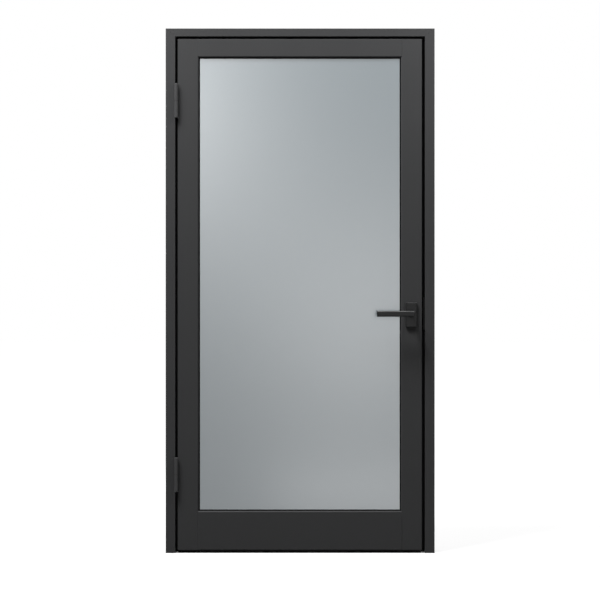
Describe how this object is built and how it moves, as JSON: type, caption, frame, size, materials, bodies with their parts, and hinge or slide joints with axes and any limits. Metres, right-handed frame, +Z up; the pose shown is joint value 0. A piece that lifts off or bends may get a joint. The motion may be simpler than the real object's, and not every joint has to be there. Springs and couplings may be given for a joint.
{
  "type": "glass door with frame",
  "caption": "Single glass door: dark coated hollow-profile leaf with a satin pane, lift-off hinges, latch and lever handles, hung in its own jamb-and-head frame.",
  "frame": {"origin": "on the floor, in the middle of the frame's width and of the leaf's thickness", "axes": "+X towards the lock side, +Y towards the back of the frame, +Z up; the side with the hinge barrels faces -Y"},
  "size_m": [1.077, 0.17, 2.1],
  "materials": {
    "coated_profile": "satin",
    "coated_hinge": "satin",
    "coated_handle": "satin",
    "satin_glass": "satin",
    "gasket_rubber": "matte",
    "raw_aluminium": "satin",
    "dark_steel": "satin",
    "plain_steel": "satin",
    "black_nylon": "matte"
  },
  "bodies": {
    "frame": {"hinge_jamb": "coated_profile", "strike_jamb": "coated_profile", "frame_head": "coated_profile", "frame_corner_cleats": "raw_aluminium", "hinge_side_stop": "coated_profile", "strike_side_stop": "coated_profile", "head_stop": "coated_profile", "stop_gaskets": "gasket_rubber", "strike_block": "black_nylon", "strike_screws": "plain_steel", "lower_hinge_frame_half": "coated_hinge", "upper_hinge_frame_half": "coated_hinge", "hinge_pins": "plain_steel", "hinge_washers": "black_nylon", "hinge_bottom_caps": "coated_hinge", "hinge_frame_screws": "plain_steel"},
    "leaf": {"hinge_stile": "coated_profile", "lock_stile": "coated_profile", "top_rail": "coated_profile", "bottom_rail": "coated_profile", "corner_spigots": "raw_aluminium", "corner_screws": "plain_steel", "stile_end_caps": "black_nylon", "glass_pane": "satin_glass", "setting_blocks": "black_nylon", "outer_glazing_gasket": "gasket_rubber", "inner_glazing_gasket": "gasket_rubber", "hinge_side_bead": "coated_profile", "lock_side_bead": "coated_profile", "top_bead": "coated_profile", "bottom_bead": "coated_profile", "bottom_seal_carrier": "coated_profile", "bottom_seal": "gasket_rubber", "lower_hinge_leaf_half": "coated_hinge", "upper_hinge_leaf_half": "coated_hinge", "hinge_top_caps": "coated_hinge", "hinge_leaf_screws": "plain_steel", "latch_case": "dark_steel", "latch_case_lid": "dark_steel", "latch_faceplate": "dark_steel", "faceplate_screws": "plain_steel", "front_rose": "coated_handle", "rear_rose": "coated_handle", "rose_bases": "black_nylon", "rose_bolts": "plain_steel", "lever_bushes": "black_nylon"},
    "lever_set": {"front_lever": "coated_handle", "rear_lever": "coated_handle", "spindle": "plain_steel", "follower": "plain_steel", "grub_screws": "plain_steel"},
    "latch": {"latch_bolt": "dark_steel"}
  },
  "joints": [
    {"name": "leaf_swing", "type": "hinge", "parent": "frame", "child": "leaf", "pos_m": [-0.495, -0.034, 1], "axis": [0, 0, -1], "range_deg": [0, 170]},
    {"name": "lever_turn", "type": "hinge", "parent": "leaf", "child": "lever_set", "pos_m": [0.445, 0, 0.958], "axis": [0, -1, 0], "range_deg": [0, 45], "stiffness_Nm_per_rad": 1.2, "springref_deg": -28.65},
    {"name": "latch_slide", "type": "slide", "parent": "leaf", "child": "latch", "axis": [-1, 0, 0], "range_m": [0, 0.011]}
  ],
  "couplings": [
    {"joint": "latch_slide", "follows": "lever_turn", "m_per_rad": 0.014005}
  ]
}
